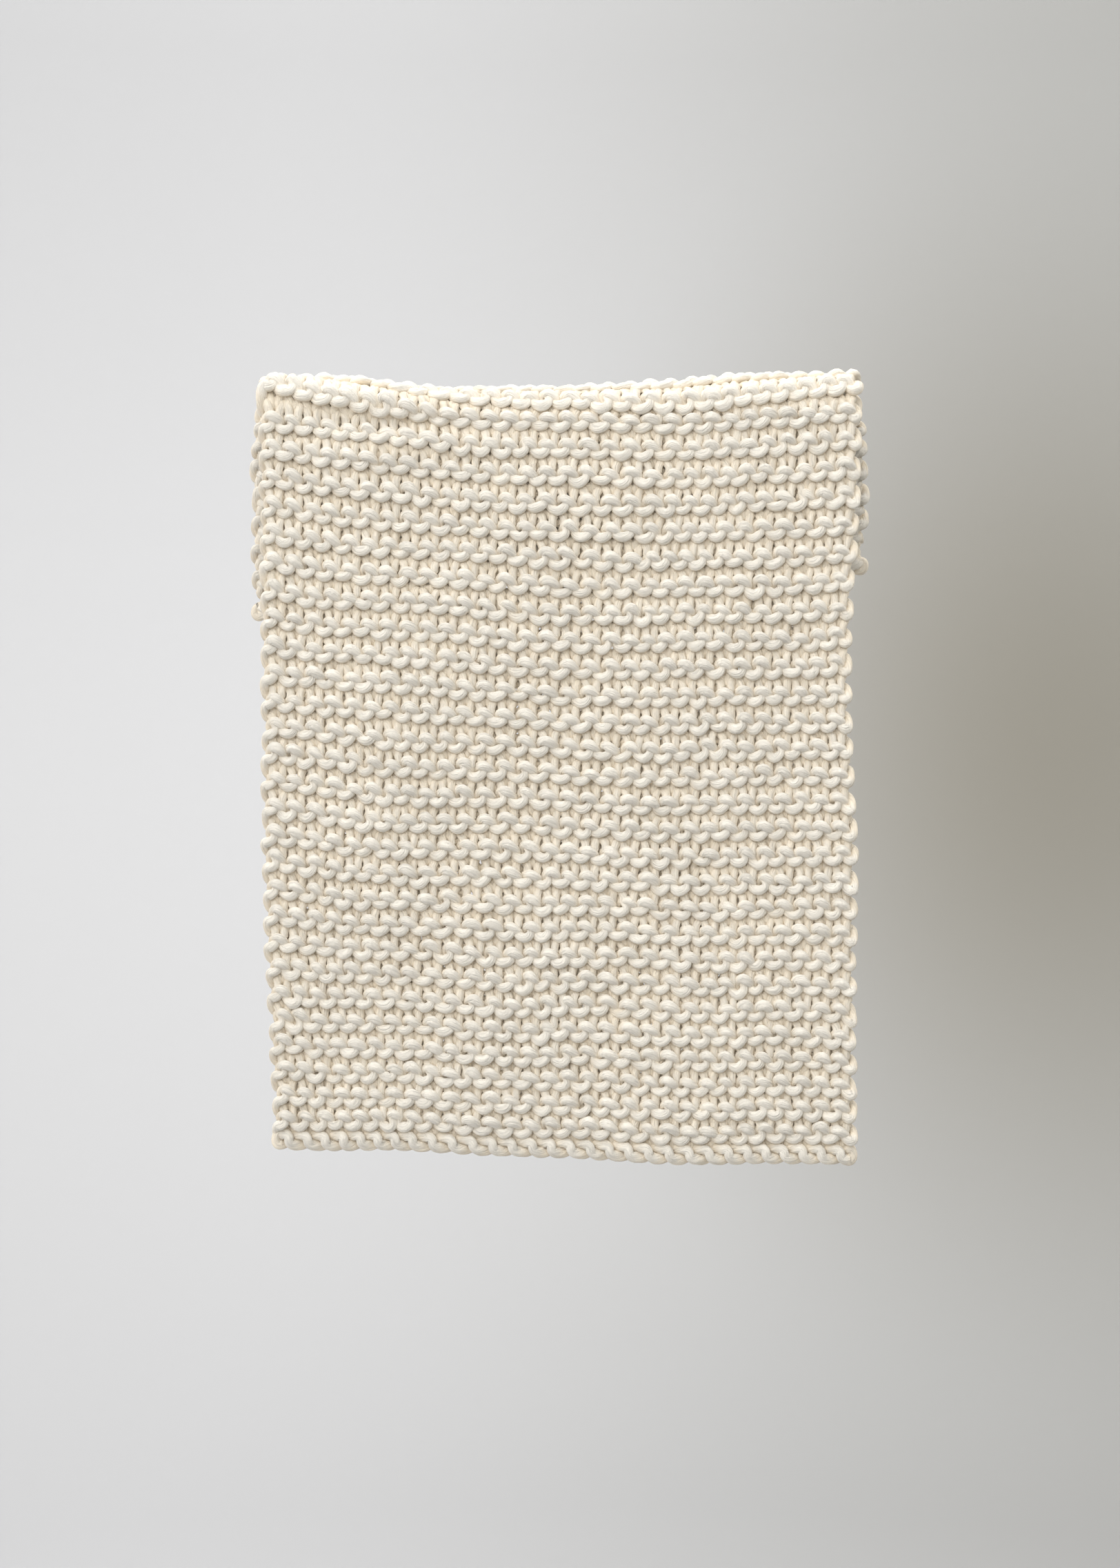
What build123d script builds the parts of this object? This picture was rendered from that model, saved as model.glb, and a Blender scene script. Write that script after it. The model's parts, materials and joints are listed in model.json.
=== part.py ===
from build123d import *
import math
import os

# A hand-knitted garter-stitch throw, hanging folded over a round bar.
# Frame: origin on the bar's axis, halfway along the blanket. +X runs along the bar,
# the long front fall faces -Y, the short back flap faces +Y, and +Z is up.
# Sizes are millimetres. The cloth is built as the pieces it is knitted in: the cast-on
# edge, the garter ridges (each one is two courses of loops), and the bound-off edge.

BAR_RADIUS = 20.0
CLOTH_THICKNESS = 22.0
NEUTRAL_DEPTH = 4.0  # over the bar the cloth keeps its length this far in from the bar side

FRONT_RIDGES = 27
FRONT_TOP_PITCH = 31.6  # the weight below opens the upper ridges
FRONT_PITCH_LOSS = 4.6  # the lowest ridges carry nothing and close up by this
BACK_RIDGES = 6
BACK_PITCH = 30.2
SADDLE_PITCH = 23.625  # along the neutral line; it opens to 31 at mid-thickness
CAST_ON_HEIGHT = 19.0
BOUND_OFF_HEIGHT = 16.0

FRONT_TOP_WIDTH = 682.0
FRONT_HEM_WIDTH = 660.0
SADDLE_WIDTH = 692.0
BACK_TOP_WIDTH = 708.0
BACK_HEM_WIDTH = 720.0

VALLEY_GAP = 0.4  # between one ridge and the next at mid-thickness
NECK = 6.0  # half the thickness of cloth left in a valley that stays straight
NECK_BEVEL = 45.0
FOLD_BEVEL = 45.6  # each side of a valley that folds 90 degrees either way
STOP_BEVEL = 4.0  # the bar side of a valley that only swings outwards
CREST_ROUND = 3.5
EDGE_ROUND = 7.0

# How many front ridges hang in each stretch between one fold line and the next.
FRONT_STRETCHES = (10, 8, 5, 4)
BACK_STRETCHES = (3, 3)

HALF_THICKNESS = CLOTH_THICKNESS / 2
MID_RADIUS = BAR_RADIUS + HALF_THICKNESS
CREST_RADIUS = BAR_RADIUS + CLOTH_THICKNESS
NEUTRAL_RADIUS = BAR_RADIUS + NEUTRAL_DEPTH
RIDGE_ANGLE = math.degrees(SADDLE_PITCH / NEUTRAL_RADIUS)
SWING_Z = -(2 * SADDLE_PITCH - math.radians(90) * NEUTRAL_RADIUS)

# A flank is one side of a valley: how far it stays level from mid-thickness, then its slope.
PLAIN_FLANK = (NECK, NECK_BEVEL)
FOLD_FLANK = (0.0, FOLD_BEVEL)
STOP_FLANK = (0.0, STOP_BEVEL)


def save(solid, node):
    """Writes one node's STEP file."""
    export_step(solid, "parts/" + node + ".step")


def front_pitch(i):
    """The height of front ridge i, counted down from the bar."""
    return FRONT_TOP_PITCH - FRONT_PITCH_LOSS * (i / (FRONT_RIDGES - 1)) ** 2


def blend(first, last, share):
    """A width between two ends."""
    return first + (last - first) * share


def valleys(stretches):
    """The numbers of the ridges that a fold line lies just above."""
    starts = []
    total = 0
    for count in stretches:
        starts.append(total)
        total += count
    return starts


def along_bar(profile, width):
    """A YZ outline made into a solid of a given width, centred on X = 0."""
    face = make_face(Plane.YZ * profile)
    return extrude(face, amount=width / 2, both=True)


def flank_points(side, z, slope_sign, flank):
    """The neck and crest points of one flank, on one side of mid-thickness."""
    neck, bevel = flank
    drop = (HALF_THICKNESS - neck) * math.tan(math.radians(bevel))
    points = [(side * HALF_THICKNESS, z - slope_sign * drop)]
    if neck > 0:
        points.append((side * neck, z))
    return points


def hanging_ridge(y, top, height, width, upper, lower):
    """A straight ridge. upper and lower give the (bar side, outer side) flanks."""
    inward = 1 if y < 0 else -1
    high = top - VALLEY_GAP / 2
    low = top - height + VALLEY_GAP / 2
    loop = flank_points(inward, high, 1, upper[0])
    if upper[0][0] == 0:
        loop.append((0, high))
    loop += reversed(flank_points(-inward, high, 1, upper[1]))
    loop += flank_points(-inward, low, -1, lower[1])
    if lower[0][0] == 0:
        loop.append((0, low))
    loop += reversed(flank_points(inward, low, -1, lower[0]))
    outline = Polyline(*[(y + a, b) for a, b in loop], close=True)
    solid = along_bar(outline, width)
    crests = solid.edges().filter_by(Axis.X).filter_by(
        lambda e: abs(abs(e.center().Y - y) - HALF_THICKNESS) < 0.01
    )
    return fillet(crests, CREST_ROUND)


def edge_band(y, top, height, width):
    """A cast-on or bound-off edge: a plump rounded band."""
    centre = (y, top - height / 2)
    section = Pos(*centre) * RectangleRounded(CLOTH_THICKNESS - 1, height - VALLEY_GAP, EDGE_ROUND)
    return extrude(Plane.YZ * section, amount=width / 2, both=True)


def polar(radius, angle):
    """A YZ point at a radius from the bar's axis, the angle measured from straight up to -Y."""
    turn = math.radians(angle)
    return (-radius * math.sin(turn), radius * math.cos(turn))


def saddle_crown():
    """The ridge on top of the bar, from the topmost valley to the next one forward."""
    gap = math.degrees(VALLEY_GAP / 2 / MID_RADIUS)
    start = gap
    end = RIDGE_ANGLE - gap
    neck_radius = MID_RADIUS + NECK
    bevel = math.degrees((CREST_RADIUS - neck_radius) / CREST_RADIUS)
    middle = (start + end) / 2
    inner = ThreePointArc(
        polar(BAR_RADIUS, start), polar(BAR_RADIUS, middle), polar(BAR_RADIUS, end)
    )
    outer = ThreePointArc(
        polar(CREST_RADIUS, end - bevel),
        polar(CREST_RADIUS, middle),
        polar(CREST_RADIUS, start + bevel),
    )
    front = Polyline(
        polar(BAR_RADIUS, end), polar(neck_radius, end), polar(CREST_RADIUS, end - bevel)
    )
    back = Polyline(
        polar(CREST_RADIUS, start + bevel), polar(neck_radius, start), polar(BAR_RADIUS, start)
    )
    return along_bar(inner + front + outer + back, SADDLE_WIDTH)


def saddle_shoulder():
    """The ridge that turns from the top of the bar down its front side."""
    start = RIDGE_ANGLE + math.degrees(VALLEY_GAP / 2 / MID_RADIUS)
    neck_radius = MID_RADIUS + NECK
    crest_start = start + math.degrees((CREST_RADIUS - neck_radius) / CREST_RADIUS)
    low = SWING_Z + VALLEY_GAP / 2
    outer_end = low + HALF_THICKNESS * math.tan(math.radians(FOLD_BEVEL))
    inner_end = low + HALF_THICKNESS * math.tan(math.radians(STOP_BEVEL))
    crest_end = math.degrees(math.acos(outer_end / CREST_RADIUS))
    inner = ThreePointArc(
        polar(BAR_RADIUS, 90), polar(BAR_RADIUS, (90 + start) / 2), polar(BAR_RADIUS, start)
    )
    top = Polyline(
        polar(BAR_RADIUS, start), polar(neck_radius, start), polar(CREST_RADIUS, crest_start)
    )
    outer = ThreePointArc(
        polar(CREST_RADIUS, crest_start),
        polar(CREST_RADIUS, (crest_start + crest_end) / 2),
        polar(CREST_RADIUS, crest_end),
    )
    foot = Polyline(
        polar(CREST_RADIUS, crest_end),
        (-MID_RADIUS, low),
        (-BAR_RADIUS, inner_end),
        polar(BAR_RADIUS, 90),
    )
    return along_bar(inner + top + outer + foot, SADDLE_WIDTH)


def fold_flanks(i, folds):
    """The flanks of the valley above ridge i."""
    if i == 0:
        return (STOP_FLANK, FOLD_FLANK)
    if i in folds:
        return (FOLD_FLANK, FOLD_FLANK)
    return (PLAIN_FLANK, PLAIN_FLANK)


def front_fall():
    """The ridges of the long front fall, then its cast-on edge."""
    folds = valleys(FRONT_STRETCHES)
    top = SWING_Z
    for i in range(FRONT_RIDGES):
        width = blend(FRONT_TOP_WIDTH, FRONT_HEM_WIDTH, i / (FRONT_RIDGES - 1))
        upper = fold_flanks(i, folds)
        lower = fold_flanks(i + 1, folds)
        ridge = hanging_ridge(-MID_RADIUS, top, front_pitch(i), width, upper, lower)
        save(ridge, f"front_ridge_{i + 1:02d}")
        top -= front_pitch(i)
    save(edge_band(-MID_RADIUS, top, CAST_ON_HEIGHT, FRONT_HEM_WIDTH), "cast_on_edge")


def back_flap():
    """The ridges of the short back flap, then its bound-off edge."""
    folds = valleys(BACK_STRETCHES)
    top = SWING_Z
    for i in range(BACK_RIDGES):
        width = blend(BACK_TOP_WIDTH, BACK_HEM_WIDTH, i / (BACK_RIDGES - 1))
        upper = fold_flanks(i, folds)
        lower = fold_flanks(i + 1, folds)
        ridge = hanging_ridge(MID_RADIUS, top, BACK_PITCH, width, upper, lower)
        save(ridge, f"back_ridge_{i + 1:02d}")
        top -= BACK_PITCH
    save(edge_band(MID_RADIUS, top, BOUND_OFF_HEIGHT, BACK_HEM_WIDTH), "bound_off_edge")


def saddle():
    """The four ridges that lie on the bar, two on each side of its top."""
    crown = saddle_crown()
    shoulder = saddle_shoulder()
    save(crown, "saddle_ridge_crown_front")
    save(mirror(crown, about=Plane.XZ), "saddle_ridge_crown_back")
    save(shoulder, "saddle_ridge_front")
    save(mirror(shoulder, about=Plane.XZ), "saddle_ridge_back")


os.makedirs("parts", exist_ok=True)
saddle()
front_fall()
back_flap()
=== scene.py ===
import json
import math

import bpy
import numpy as np
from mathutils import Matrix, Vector

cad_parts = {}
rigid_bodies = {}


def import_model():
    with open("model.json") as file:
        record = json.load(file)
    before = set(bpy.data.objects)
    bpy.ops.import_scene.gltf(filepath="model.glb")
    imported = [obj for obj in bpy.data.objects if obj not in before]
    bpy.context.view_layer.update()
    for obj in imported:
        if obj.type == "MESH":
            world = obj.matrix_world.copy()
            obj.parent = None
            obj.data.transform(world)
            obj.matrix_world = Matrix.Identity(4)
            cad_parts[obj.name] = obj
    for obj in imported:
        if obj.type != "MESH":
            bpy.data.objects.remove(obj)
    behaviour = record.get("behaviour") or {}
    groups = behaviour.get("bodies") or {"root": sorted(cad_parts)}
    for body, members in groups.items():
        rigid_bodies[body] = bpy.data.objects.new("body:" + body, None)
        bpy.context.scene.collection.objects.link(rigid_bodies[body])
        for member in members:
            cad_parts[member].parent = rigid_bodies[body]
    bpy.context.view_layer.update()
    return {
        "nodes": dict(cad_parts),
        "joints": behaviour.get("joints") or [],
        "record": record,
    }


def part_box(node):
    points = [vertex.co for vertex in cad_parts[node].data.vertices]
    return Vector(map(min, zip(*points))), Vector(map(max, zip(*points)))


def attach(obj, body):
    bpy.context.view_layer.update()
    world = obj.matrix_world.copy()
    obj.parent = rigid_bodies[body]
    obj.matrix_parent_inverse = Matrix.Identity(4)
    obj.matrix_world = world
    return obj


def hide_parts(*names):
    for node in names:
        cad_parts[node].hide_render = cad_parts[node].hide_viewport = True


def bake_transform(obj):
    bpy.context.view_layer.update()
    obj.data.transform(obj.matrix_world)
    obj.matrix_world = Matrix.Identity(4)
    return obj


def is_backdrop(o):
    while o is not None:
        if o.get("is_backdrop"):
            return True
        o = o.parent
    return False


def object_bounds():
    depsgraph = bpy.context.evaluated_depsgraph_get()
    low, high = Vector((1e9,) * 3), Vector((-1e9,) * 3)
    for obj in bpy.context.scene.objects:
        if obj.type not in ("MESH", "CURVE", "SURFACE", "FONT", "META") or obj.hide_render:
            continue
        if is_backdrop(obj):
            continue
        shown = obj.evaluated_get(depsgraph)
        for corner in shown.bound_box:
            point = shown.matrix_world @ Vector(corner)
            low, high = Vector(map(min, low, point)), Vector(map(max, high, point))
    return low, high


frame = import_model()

# A hand-knitted garter-stitch throw hanging over a bar. Every course of loops is a real
# length of yarn: each ridge of the CAD frame becomes two courses of knitted loops, laid on
# the draped cloth's surface. Lengths are millimetres until a mesh is made of them; the
# studio and the camera are in metres.

MM = 0.001
SEED = 20261
rng = np.random.default_rng(SEED)

# ---------------------------------------------------------------- the cloth and its yarn

STITCHES = 30
STITCH_WIDTH = 22.0
STEPS = 24  # points along the yarn in one stitch
SIDES = 16  # points round the yarn
TURN_STEPS = 12  # points round each turn at a selvedge
YARN_RADIUS = 5.4
LEG_SHARE = 0.8  # the yarn is drawn this thin between a loop's head and foot
HIDDEN_LEG_SHARE = 0.95  # the same, behind the loops whose heads are on the front of the cloth
ROW_GAP = 13.8  # between the row of heads and the row of feet on one ridge
LOOP_DEPTH = 5.6  # the yarn's centre line swings this far to each side of mid-thickness
FACE_LIFT = 0.8  # on the front of the cloth the heads stand out by this, and the feet lie back
LOOP_BULGE = 4.7  # how far a loop's head widens past its foot
LEG_SPLAY = 1.0  # how far its legs spread on their way, so that its head is rounder
FEET_BEHIND = (3.4, 1.2)  # bulge and splay of feet behind the cloth
HEADS_BEHIND = (5.0, -2.2)  # and of heads behind it
HEAD_LEAN = 2.0  # the heads on the front of the cloth lean this far to the left
BACK_HEAD_LEAN = 0.5  # and those on its back this far to the right
HEAD_TILT = 1.2  # the left shoulders of the front heads stand this much higher
LEG_PUSH = 2.2  # the legs of a loop stand this far out on the side away from its head
TUCK = 1.4  # the right end of each bump lies this far over its neighbour's left end
TURN_REACH = 3.5  # how far a selvedge turn stands out past the last stitch
EDGE_ALLOWANCE = TURN_REACH + YARN_RADIUS
MIDDLE_SPREAD = 0.014  # how far, in u, the wider stitches in the middle push the rest outwards
PLY_TWIST = 2 * math.pi / 70  # radians of twist per millimetre of yarn
STRAND_TWIST = 2 * math.pi / 150  # the same, for the fibres in each ply

BAR_RADIUS = frame["record"]["mounts"][0]["dims"]["r_mm"]
HALF_THICKNESS = 11.0
MID_RADIUS = BAR_RADIUS + HALF_THICKNESS
NEUTRAL_RADIUS = BAR_RADIUS + 4.0  # where the cloth over the bar keeps its length
QUARTER = math.pi / 2 * NEUTRAL_RADIUS  # cloth length from the top of the bar to its side
HALF_WIDTH = 335.0  # of the cloth, on average


def box_mm(node):
    low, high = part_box(node)
    return np.array(low) / MM, np.array(high) / MM


def names(prefix):
    return sorted(n for n in frame["nodes"] if n.startswith(prefix))


def smooth(x, low, high):
    """0 below low, 1 above high, and a smooth step between."""
    t = np.clip((x - low) / (high - low), 0, 1)
    return t * t * (3 - 2 * t)


# The cloth's length coordinate s is 0 on top of the bar, positive down the front fall and
# negative down the back flap. Each ridge lies between two valleys on it.

HALF_GAP = 0.2  # half of the gap that the CAD leaves between two ridges


def hanging_valleys(ridges, edge):
    """The s of each valley down one side, from the swing line to the edge band."""
    boxes = [box_mm(n) for n in ridges + [edge]]
    inner = [(a[0][2] + b[1][2]) / 2 for a, b in zip(boxes, boxes[1:])]
    top = boxes[0][1][2] + HALF_GAP
    foot = boxes[-1][0][2] - HALF_GAP
    return [QUARTER - z for z in [top] + inner + [foot]]


FRONT = names("front_ridge_")
BACK = names("back_ridge_")
front_valleys = hanging_valleys(FRONT, "cast_on_edge")
back_valleys = hanging_valleys(BACK, "bound_off_edge")
SWING_S = front_valleys[0]
SADDLE = ["saddle_ridge_front", "saddle_ridge_crown_front", "saddle_ridge_crown_back",
          "saddle_ridge_back"]
SADDLE_PITCH = 2 * SWING_S / len(SADDLE)
FRONT_END = front_valleys[-1]
FALL = FRONT_END - SWING_S

# Knitting order: up the front fall from the cast-on edge, over the bar, down the back flap.
ridges = []
for i in reversed(range(len(FRONT))):
    ridges.append((FRONT[i], front_valleys[i + 1], front_valleys[i]))
for i, node in enumerate(SADDLE):
    ridges.append((node, SWING_S - i * SADDLE_PITCH, SWING_S - (i + 1) * SADDLE_PITCH))
for i, node in enumerate(BACK):
    ridges.append((node, -back_valleys[i], -back_valleys[i + 1]))


# ---------------------------------------------------------------- the drape

def share_down(s):
    """0 at the swing line under the bar, 1 at the foot of the front fall."""
    return np.clip((s - SWING_S) / FALL, 0, 1)


def half_widths(s):
    """The visible left and right edges of the cloth at s."""
    f = share_down(s)
    left = 341 - 4 * smooth(f, 0.0, 0.5) - 12 * smooth(f, 0.55, 1.0)
    right = 343 - 13 * np.exp(-((f - 0.33) / 0.2) ** 2) - 8 * smooth(f, 0.3, 0.8)
    behind = smooth(-s, -10, 80)
    left = left + 15 * behind
    right = right + 13 * behind
    return left, right


def skew(u, s):
    """How far the ridge lines are pulled forward and down, across the width u from -1 to 1.
    They sag in a bowl, most at the bar, and lean down to the right at the foot. The back flap
    hangs lower at its left, and the rows on the bar have slipped a little."""
    f = share_down(s)
    low_point = 0.25 + 0.3 * smooth(f, 0.1, 0.6)
    settle = 10 * smooth(s, 5, SWING_S + 12) * (1 - f) + 9 * smooth(-s, 20, 80)
    bowl = ((u - low_point) / (1 + low_point)) ** 2
    level = (1 / 3 + low_point ** 2) / (1 + low_point) ** 2  # the bowl's mean
    depth = 38 - 32 * f - 8 * smooth(-s, 0, 150)
    lean = 8.5 * f ** 2 * u
    behind = (11 * u + 7 * (1 + u)) * smooth(-s, 0, 150)
    slip = 8 * smooth(u, -0.75, -0.1) - 5 * (1 - smooth(u, -1, -0.6))
    slip = slip * smooth(s, -70, -15) * (1 - smooth(s, 14, 40))
    return -depth * (bowl - level) + lean + behind + settle + slip


def wander(u, s):
    """Gentle waves of the cloth out of its own plane, and the crease at its upper left."""
    fall = smooth(np.abs(s), 40, 140)
    wave = 2.2 * np.sin(2.3 * u + s / 190 + 0.6) + 1.6 * np.sin(4.1 * u - s / 120 + 2.0)
    wave = wave + 1.2 * np.sin(7.3 * u + s / 75)
    crease = -7.5 * np.exp(-((u + 0.52) / 0.26) ** 2) * np.exp(-((s - 50) / 13) ** 2)
    crease = crease + 3.5 * np.exp(-((u + 0.5) / 0.3) ** 2) * np.exp(-((s - 78) / 16) ** 2)
    hem = -5.0 * smooth(s, FRONT_END - 45, FRONT_END)
    return fall * wave + crease + hem


CROWN_PRESS = 4.3


def crown(u):
    """How far the cloth lifts off the bar: the two top corners curl up, the middle presses down."""
    left = 15.5 * smooth(-u, 0.35, 1.0)
    right = 15.5 * smooth(u, -0.1, 1.05)
    return left + right - CROWN_PRESS


def squeeze(u, s):
    """The share of its thickness the cloth keeps, pressed thin on top of the bar."""
    over = np.cos(np.clip(s / NEUTRAL_RADIUS, -math.pi / 2, math.pi / 2))
    return 1 - 0.4 * over * (1 - smooth(crown(u), -CROWN_PRESS, 5))


WAVES = [
    (rng.uniform(2, 11), rng.uniform(-1, 1) / 45, rng.uniform(0, 6.3), rng.uniform(0, 6.3))
    for _ in range(14)
]


def uneven(u, s):
    """The knitter's hand: the lattice of stitches wanders a little across and along."""
    across_mm = sum(np.sin(a * u + b * s + c) for a, b, c, _ in WAVES) * 0.65
    along_mm = sum(np.sin(a * u + b * s + c) for a, b, _, c in WAVES) * 0.5
    inside = 1 - np.abs(u) ** 6
    return across_mm * inside / HALF_WIDTH, along_mm


def drape(u, s, d):
    """A point of the cloth in the frame. u runs across, s along, d out of the cloth."""
    shift_u, shift_s = uneven(u, s)
    u = u + shift_u
    s = s + skew(u, s) + shift_s
    left, right = half_widths(s)
    x = np.where(u < 0, u * left, u * right)
    angle = np.clip(s / NEUTRAL_RADIUS, -math.pi / 2, math.pi / 2)
    over = np.cos(angle)
    straight = np.abs(s) - np.minimum(np.abs(s), QUARTER)
    radius = MID_RADIUS + d * squeeze(u, s) + crown(u) * over + wander(u, s)
    y = -radius * np.sin(angle)
    z = radius * over - straight
    return np.stack([x, y, z], axis=-1)


def drape_normal(u, s, d):
    """The direction straight out of the cloth there."""
    step = drape(u, s, d + 0.5) - drape(u, s, d - 0.5)
    return step / np.linalg.norm(step, axis=-1, keepdims=True)


# ---------------------------------------------------------------- the yarn's path

def across(stitch):
    """The u of a place counted in stitches from the left edge; the middle ones are wider."""
    u = (stitch / STITCHES * 2 - 1) * (1 - EDGE_ALLOWANCE / HALF_WIDTH)
    return u + MIDDLE_SPREAD * np.sin(math.pi * u)


def drift(count, size):
    """A run of random values for the stitches of a course."""
    return rng.normal(0, size, count)


def stretch(u, s, d):
    """How much longer the cloth's length is at the depth d than along s: more over the bar."""
    step = drape(u, s + 1, d) - drape(u, s - 1, d)
    return np.clip(np.linalg.norm(step, axis=-1) / 2, 1, 2.4)


def loop_spread(t, heads_front):
    """How a loop widens: round where it lies on the face of the cloth; behind it, wide heads
    whose legs show as a V in the valley, and narrow feet whose legs cross behind the V."""
    behind = np.cos(t) < 0 if heads_front else np.cos(t) > 0
    widen, splay = FEET_BEHIND if heads_front else HEADS_BEHIND
    return np.where(behind, widen, LOOP_BULGE), np.where(behind, splay, LEG_SPLAY)


def loop_rise(t, s_mid, spacing, u, face):
    """How far up the cloth a loop stands, kept round where the cloth is stretched, and by
    how much it is stretched there."""
    reach = (spacing + ROW_GAP) / 2
    head = (1 + np.cos(t)) / 2
    above = stretch(u, s_mid - reach, face * LOOP_DEPTH)
    below = stretch(u, s_mid + reach, -face * LOOP_DEPTH)
    more = head * above + (1 - head) * below
    flatten = (more - 1) / (9 * more - 1)
    shape = (np.cos(t) - flatten * np.cos(3 * t)) / (1 - flatten)
    return shape * (spacing + ROW_GAP / more) / 2, more


def course(s_mid, spacing, heads_front):
    """One course of loops from left to right: stitch, s and d of the yarn's centre line,
    and the share by which the yarn swells. In each loop t runs from -pi at one foot through
    0 at the head to pi at the next foot."""
    t = np.arange(STITCHES * STEPS + 1) / STEPS * 2 * math.pi - math.pi
    place = (t + math.pi) / (2 * math.pi)
    knots = np.arange(2 * STITCHES + 1) / 2

    def jitter(size):
        return np.interp(place, knots, drift(len(knots), size))

    face = 1 if heads_front else -1
    on_face = face * np.cos(t) > 0
    head = (1 + np.cos(t)) / 2
    lean = (-HEAD_LEAN if heads_front else BACK_HEAD_LEAN) * head
    tilt = -HEAD_TILT * head if heads_front else 0
    widen, splay = loop_spread(t, heads_front)
    bulge = (widen + jitter(0.5)) * np.sin(2 * t) - splay * np.sin(4 * t)
    stitch = place + (bulge + lean + jitter(0.9)) / STITCH_WIDTH
    rise, more = loop_rise(t, s_mid, spacing, across(place), face)
    rise += (jitter(0.9) * np.cos(t) + jitter(0.9)) / more
    rise += (tilt + jitter(0.6)) * np.sin(2 * t) / more
    swing = np.sign(np.cos(t)) * np.abs(np.cos(t)) ** 2.7
    depth = face * LOOP_DEPTH * swing * (1 + jitter(0.09))
    depth += TUCK * np.sin(2 * t) * on_face + jitter(0.6)
    depth -= face * LEG_PUSH * np.sin(t) ** 2
    depth += np.where(on_face, FACE_LIFT * face * np.cos(t) ** 2, 0)
    hidden = HIDDEN_LEG_SHARE if heads_front else LEG_SHARE
    thin = np.where(on_face, LEG_SHARE, hidden)
    swell = thin + (1 - thin) * np.abs(np.cos(t)) ** 2.5 + jitter(0.05)
    swell *= 1 + 0.25 * (more - 1)
    return np.stack([stitch, s_mid - rise, depth, swell], axis=-1)


def turn(start, end, side):
    """The yarn's way round a selvedge, from the end of one course to the start of the next."""
    a = (np.arange(1, TURN_STEPS) / TURN_STEPS)[:, None] * math.pi
    mix = (1 - np.cos(a)) / 2
    path = start * (1 - mix) + end * mix
    path[:, 0] += side * np.sin(a[:, 0]) * TURN_REACH / STITCH_WIDTH
    path[:, 3] *= 1 - 0.12 * np.sin(a[:, 0])
    return path


courses = []
for _, low, high in ridges:
    pitch = low - high
    courses.append(course(low - 0.25 * pitch, pitch / 2, True)[::-1])
    courses.append(course(low - 0.75 * pitch, pitch / 2, False))


def ridge_path(k):
    """The yarn of ridge k: right to left, round the left selvedge, back, round the right one."""
    back, forth = courses[2 * k], courses[2 * k + 1]
    rows = [back, turn(back[-1], forth[0], -1), forth]
    if k + 1 < len(ridges):
        following = courses[2 * k + 2]
        rows.append(turn(forth[-1], following[0], 1))
        rows.append(following[:3])
    return np.concatenate(rows)


def twined_edge(s_mid, slant, size, gap):
    """A cast-on or bound-off edge: two strands twined round each other all along it."""
    place = np.arange(STITCHES * STEPS + 1) / STEPS
    strands = []
    for phase in (0, math.pi):
        angle = math.pi * place + phase
        stitch = place + 0.14 * np.sin(2 * angle) + np.interp(
            place, np.arange(STITCHES + 1), drift(STITCHES + 1, 0.03))
        s = s_mid - slant * gap * np.cos(angle)
        d = gap * 0.95 * np.sin(angle)
        swell = size * (1 + 0.10 * np.cos(2 * angle))
        strands.append(np.stack([stitch, s, d, swell], axis=-1))
    there, back = strands[0], strands[1][::-1]
    return np.concatenate(
        [there, turn(there[-1], back[0], 1), back, turn(back[-1], there[0], -1)])


# ---------------------------------------------------------------- yarn to mesh

def tube(path, closed):
    """Rings of points round the path, with each point's place in the yarn's fibres and its
    distance from the cloth's mid-thickness."""
    u = across(path[:, 0])
    centre = drape(u, path[:, 1], path[:, 2])
    if closed:
        tangent = np.roll(centre, -1, 0) - np.roll(centre, 1, 0)
    else:
        tangent = np.gradient(centre, axis=0)
    tangent /= np.linalg.norm(tangent, axis=1, keepdims=True)
    out = drape_normal(u, path[:, 1], path[:, 2])
    side = np.cross(tangent, out)
    side /= np.linalg.norm(side, axis=1, keepdims=True)
    up = np.cross(side, tangent)
    length = np.concatenate([[0], np.cumsum(np.linalg.norm(np.diff(centre, axis=0), axis=1))])
    phi = np.arange(SIDES) / SIDES * 2 * math.pi
    twist = phi[None, :] - PLY_TWIST * length[:, None]
    ply = 1 + 0.055 * np.cos(3 * twist) + 0.02 * np.cos(5 * twist + 1.3)
    radius = YARN_RADIUS * path[:, 3:4] * ply
    wide = radius * 1.05 * np.cos(phi)[None, :]
    flat = 0.9 * (0.5 + 0.5 * squeeze(u, path[:, 1]))[:, None]
    deep = radius * flat * np.sin(phi)[None, :]
    points = centre[:, None, :] + wide[..., None] * side[:, None, :]
    points = points + deep[..., None] * up[:, None, :]
    fibre = phi[None, :] - STRAND_TWIST * length[:, None]
    strand = np.stack([
        YARN_RADIUS * np.cos(fibre),
        YARN_RADIUS * np.sin(fibre),
        np.broadcast_to(length[:, None], fibre.shape),
    ], axis=-1)
    depth = np.abs(path[:, 2:3] + deep * np.sum(up * out, axis=1)[:, None])
    return points, strand, depth


def tube_faces(rings, closed):
    """The vertex numbers of the quads between the rings."""
    last = rings if closed else rings - 1
    i = np.arange(last)[:, None]
    j = np.arange(SIDES)[None, :]
    a = i * SIDES + j
    b = i * SIDES + (j + 1) % SIDES
    c = (i + 1) % rings * SIDES + (j + 1) % SIDES
    d = (i + 1) % rings * SIDES + j
    return np.stack([a, b, c, d], axis=-1).reshape(-1, 4)


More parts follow.
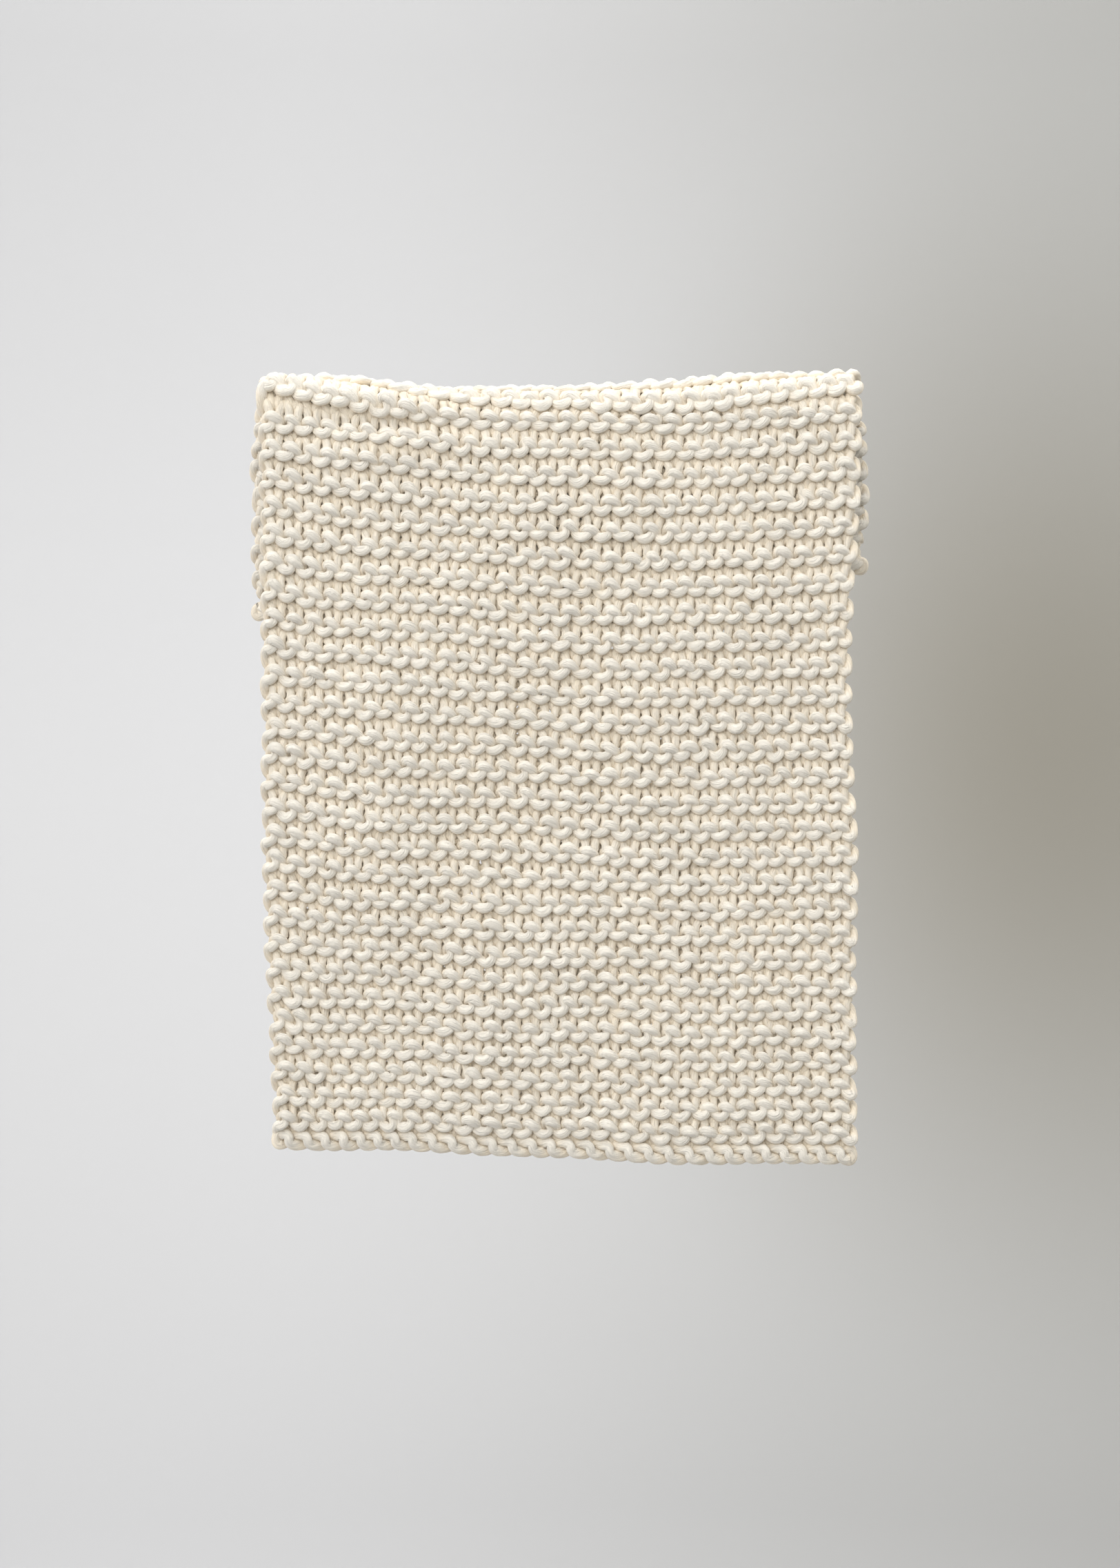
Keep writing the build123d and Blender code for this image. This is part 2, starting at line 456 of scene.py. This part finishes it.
def yarn_piece(name, path, closed=False):
    """A mesh object of one length of yarn."""
    points, strand, depth = tube(path, closed)
    rings = len(points)
    quads = tube_faces(rings, closed)
    caps = [] if closed else [np.arange(SIDES)[::-1], np.arange(SIDES) + (rings - 1) * SIDES]
    corners = np.concatenate([quads.reshape(-1)] + caps).astype(np.int32)
    starts = [4 * i for i in range(len(quads))]
    starts += [4 * len(quads) + SIDES * i for i in range(len(caps))]
    mesh = bpy.data.meshes.new(name)
    mesh.vertices.add(rings * SIDES)
    mesh.vertices.foreach_set("co", (points.reshape(-1) * MM).astype(np.float32))
    mesh.loops.add(len(corners))
    mesh.loops.foreach_set("vertex_index", corners)
    mesh.polygons.add(len(starts))
    mesh.polygons.foreach_set("loop_start", np.array(starts, np.int32))
    mesh.update(calc_edges=True)
    mesh.validate()
    mesh.shade_smooth()
    fibre = mesh.attributes.new("strand", "FLOAT_VECTOR", "POINT")
    fibre.data.foreach_set("vector", (strand.reshape(-1) * MM).astype(np.float32))
    # raised is 0 where the yarn lies deep in the cloth; there the material paints a warm tint of
    # bounced light
    raised = mesh.attributes.new("raised", "FLOAT", "POINT")
    raised.data.foreach_set("value", smooth(depth, 2.0, 9.5).reshape(-1).astype(np.float32))
    piece = bpy.data.objects.new(name, mesh)
    bpy.context.scene.collection.objects.link(piece)
    return piece


# ---------------------------------------------------------------- materials

def new_material(name):
    """A node material with its node tree and its shader."""
    material = bpy.data.materials.new(name)
    material.use_nodes = True
    tree = material.node_tree
    return material, tree, tree.nodes["Principled BSDF"]


def ranged(tree, value, source, target, interpolation="LINEAR"):
    """A value carried over from one range to another."""
    node = tree.nodes.new("ShaderNodeMapRange")
    node.interpolation_type = interpolation
    node.inputs["From Min"].default_value, node.inputs["From Max"].default_value = source
    node.inputs["To Min"].default_value, node.inputs["To Max"].default_value = target
    tree.links.new(value, node.inputs["Value"])
    return node.outputs["Result"]


def mixed(tree, factor, first, second):
    """The first colour where the factor is 0 and the second where it is 1."""
    node = tree.nodes.new("ShaderNodeMix")
    node.data_type = "RGBA"
    node.inputs["A"].default_value = (*first, 1)
    node.inputs["B"].default_value = (*second, 1)
    tree.links.new(factor, node.inputs["Factor"])
    return node.outputs["Result"]


def times(tree, colour, factor):
    """A colour multiplied by another or by a value."""
    node = tree.nodes.new("ShaderNodeMix")
    node.data_type = "RGBA"
    node.blend_type = "MULTIPLY"
    node.inputs["Factor"].default_value = 1
    tree.links.new(colour, node.inputs["A"])
    tree.links.new(factor, node.inputs["B"])
    return node.outputs["Result"]


def vector_math(tree, operation, vector, second=None):
    """A vector node, with a constant as its second vector where it has one."""
    node = tree.nodes.new("ShaderNodeVectorMath")
    node.operation = operation
    tree.links.new(vector, node.inputs[0])
    if second:
        node.inputs[1].default_value = second
    return node.outputs["Value" if operation == "LENGTH" else "Vector"]


def attribute(tree, name):
    node = tree.nodes.new("ShaderNodeAttribute")
    node.attribute_name = name
    return node


def cotton():
    """Soft undyed cotton: loose strands along the yarn, warmer where it lies deep, a painted tint
    of the warm light bounced about its recesses, and painted shade in the grooves between strands.
    """
    material, tree, shader = new_material("cotton_yarn")
    shader.inputs["Roughness"].default_value = 0.95
    shader.inputs["Specular IOR Level"].default_value = 0.12
    shader.inputs["Sheen Weight"].default_value = 0.3
    shader.inputs["Sheen Roughness"].default_value = 0.6
    strand = attribute(tree, "strand").outputs["Vector"]
    raised = attribute(tree, "raised").outputs["Fac"]

    def streaks(scale, along, detail):
        """Noise drawn out along the yarn; the smaller along is, the longer it is drawn."""
        noise = tree.nodes.new("ShaderNodeTexNoise")
        noise.inputs["Scale"].default_value = scale
        noise.inputs["Detail"].default_value = detail
        drawn_out = vector_math(tree, "MULTIPLY", strand, (1.0, 1.0, along))
        tree.links.new(drawn_out, noise.inputs["Vector"])
        return noise.outputs["Fac"]

    def plus(value, other, share):
        node = tree.nodes.new("ShaderNodeMath")
        node.operation = "MULTIPLY_ADD"
        node.inputs[1].default_value = share
        tree.links.new(other, node.inputs[0])
        tree.links.new(value, node.inputs[2])
        return node.outputs["Value"]

    coarse = streaks(380, 0.12, 3)
    fine = streaks(800, 0.15, 2)
    fuzz = streaks(1500, 0.5, 2)
    mottle = streaks(90, 0.8, 2)

    # Where the yarn lies deep its colour is a painted warm tint of light bounced about the
    # recesses; where it is raised, the cotton's own colour.
    colour = mixed(tree, raised, (0.94, 0.838, 0.68), (0.885, 0.84, 0.755))
    # The coarse and fine streaks darken the colour where they also sink the bump: painted shade in
    # the grooves between strands, with random tone. The mottle is random tone only.
    colour = times(tree, colour, ranged(tree, coarse, (0.34, 0.66), (0.88, 1.04)))
    colour = times(tree, colour, ranged(tree, fine, (0.3, 0.7), (0.94, 1.04)))
    colour = times(tree, colour, ranged(tree, mottle, (0.3, 0.7), (0.95, 1.05)))
    tree.links.new(colour, shader.inputs["Base Color"])

    bump = tree.nodes.new("ShaderNodeBump")
    bump.inputs["Strength"].default_value = 1.0
    bump.inputs["Distance"].default_value = 0.0021
    tree.links.new(plus(plus(coarse, fine, 0.5), fuzz, 0.5), bump.inputs["Height"])
    tree.links.new(bump.outputs["Normal"], shader.inputs["Normal"])
    return material


# ---------------------------------------------------------------- pieces on their bodies

BODY_OF = {n: b for b, ns in frame["record"]["behaviour"]["bodies"].items() for n in ns}
FOLD_REACH = 30.0  # the cloth bends over this far above and below a fold line
SWING_ABOVE = 12.0  # and over this far above and below a swing line, under the bar
SWING_BELOW = 48.0


def fold_zone(joint):
    """Where the cloth bends at a joint: the y of the hinge, and the z of the top and foot."""
    _, y, z = (v / MM for v in joint["pos_m"])
    swing = "swing" in joint["name"]
    top = z + (SWING_ABOVE if swing else FOLD_REACH)
    foot = z - (SWING_BELOW if swing else FOLD_REACH)
    return y, top, foot


def put_in_place(piece, node):
    """The piece takes its CAD node's place on the node's body; a piece that a fold line crosses is
    left on no body.
    """
    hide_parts(node)
    co = np.empty(len(piece.data.vertices) * 3, np.float32)
    piece.data.vertices.foreach_get("co", co)
    z = co.reshape(-1, 3)[:, 2] / MM
    body = BODY_OF[node]
    for joint in frame["joints"]:
        y, top, foot = fold_zone(joint)
        near = body in (joint["parent"], joint["child"])
        if near and z.min() < top and z.max() > foot:
            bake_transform(piece)
            return
    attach(piece, body)


cotton_yarn = cotton()


def finish_piece(node, path, closed=False):
    piece = yarn_piece("knit_" + node, path, closed)
    piece.data.materials.append(cotton_yarn)
    put_in_place(piece, node)


for k, (node, _, _) in enumerate(ridges):
    finish_piece(node, ridge_path(k))
cast_on_mid = (front_valleys[-2] + front_valleys[-1]) / 2 - 0.8
finish_piece("cast_on_edge", twined_edge(cast_on_mid, 1, 1.06, 6.2), True)
bound_off_mid = -(back_valleys[-2] + back_valleys[-1]) / 2
finish_piece("bound_off_edge", twined_edge(bound_off_mid, -1, 0.98, 4.6), True)

# ---------------------------------------------------------------- studio

VIEW_CENTRE_Z = -0.4195
CAMERA_DISTANCE = 3.2
FRAME_HEIGHT = 1.7616  # what the frame shows at the cloth's front
SENSOR_HEIGHT = 36.0  # millimetres, along the longer side of the frame
ROOM_RADIUS = 4.8
ROOM_BEND = 2.2  # radius of the bend between the floor and the wall
ROOM_TOP = 1.9
FLOOR_Z = -1.9


def studio_shell():
    """A pale floor that curves up into a round wall."""
    profile = [(0.001, FLOOR_Z), (1.3, FLOOR_Z)]
    for i in range(17):
        a = i / 16 * math.pi / 2
        r = ROOM_RADIUS - ROOM_BEND * (1 - math.sin(a))
        profile.append((r, FLOOR_Z + ROOM_BEND * (1 - math.cos(a))))
    profile.append((ROOM_RADIUS, ROOM_TOP))
    around = 96
    points = []
    for r, z in profile:
        for i in range(around):
            a = i / around * 2 * math.pi
            points.append((r * math.sin(a), r * math.cos(a), z))
    faces = []
    for k in range(len(profile) - 1):
        ring, above = k * around, (k + 1) * around
        for i in range(around):
            j = (i + 1) % around
            faces.append((ring + i, ring + j, above + j, above + i))
    mesh = bpy.data.meshes.new("studio")
    mesh.from_pydata(points, [], faces)
    mesh.shade_smooth()
    shell = bpy.data.objects.new("studio", mesh)
    bpy.context.scene.collection.objects.link(shell)
    mesh.materials.append(studio_paint())
    shell.visible_shadow = False
    shell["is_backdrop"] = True


def studio_paint():
    """Pale matt paint with painted light and shade: a little darker towards the right as a wall
    beside a window is, a painted shadow of the cloth, and darker towards the top and foot.
    """
    material, tree, shader = new_material("studio_paint")
    shader.inputs["Roughness"].default_value = 0.95
    shader.inputs["Specular IOR Level"].default_value = 0.1
    where = tree.nodes.new("ShaderNodeTexCoord").outputs["Object"]
    split = tree.nodes.new("ShaderNodeSeparateXYZ")
    tree.links.new(where, split.inputs["Vector"])

    # Painted light falloff: darker from left to right, as the light from a window at the left falls
    # off across the wall.
    rightward = ranged(tree, split.outputs["X"], (-0.9, 1.9), (0, 1), "SMOOTHSTEP")
    paint = mixed(tree, rightward, (0.635, 0.64, 0.656), (0.409, 0.409, 0.399))

    # A painted shadow of the cloth: a soft warm shade on the wall, to the right of the cloth.
    offset = vector_math(tree, "SUBTRACT", where, (1.35, ROOM_RADIUS, -0.35))
    oval = vector_math(tree, "MULTIPLY", offset, (0.8, 0.4, 0.62))
    reach = vector_math(tree, "LENGTH", oval)
    shade = ranged(tree, reach, (0, 1.25), (0, 1), "SMOOTHSTEP")
    painted_shadow = mixed(tree, shade, (0.60, 0.569, 0.503), (1.0, 1.0, 1.0))

    # Painted light falloff: the wall dims towards its top and its foot.
    level = tree.nodes.new("ShaderNodeMath")
    level.operation = "MULTIPLY"
    height = split.outputs["Z"]
    tree.links.new(ranged(tree, height, (0.35, 1.62), (0.97, 0.82)), level.inputs[0])
    tree.links.new(ranged(tree, height, (-1.9, 0.2), (0.77, 1.0)), level.inputs[1])
    dimmed = times(tree, painted_shadow, level.outputs["Value"])
    tree.links.new(times(tree, paint, dimmed), shader.inputs["Base Color"])
    return material


def window_light():
    """Broad daylight from the upper left, in front of the cloth."""
    lamp = bpy.data.lights.new("window", "SUN")
    lamp.angle = math.radians(70)
    lamp.energy = 1.22
    lamp.color = (1.0, 0.985, 0.95)
    holder = bpy.data.objects.new("window", lamp)
    bpy.context.scene.collection.objects.link(holder)
    holder.rotation_euler = Vector((-0.58, -0.70, 0.45)).to_track_quat("Z", "Y").to_euler()


def studio():
    studio_shell()
    window_light()
    world = bpy.data.worlds.new("world")
    world.use_nodes = True
    background = world.node_tree.nodes["Background"]
    background.inputs["Color"].default_value = (1.0, 0.99, 0.97, 1)
    background.inputs["Strength"].default_value = 1.82
    bpy.context.scene.world = world
    bpy.context.scene.view_settings.view_transform = "Standard"


def camera():
    data = bpy.data.cameras.new("camera")
    data.sensor_width = SENSOR_HEIGHT
    data.lens = SENSOR_HEIGHT * CAMERA_DISTANCE / FRAME_HEIGHT
    holder = bpy.data.objects.new("camera", data)
    bpy.context.scene.collection.objects.link(holder)
    front = -(MID_RADIUS + HALF_THICKNESS) * MM
    holder.location = (0, front - CAMERA_DISTANCE, VIEW_CENTRE_Z)
    holder.rotation_euler = (math.pi / 2, 0, 0)
    bpy.context.scene.camera = holder


studio()
camera()

low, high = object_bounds()
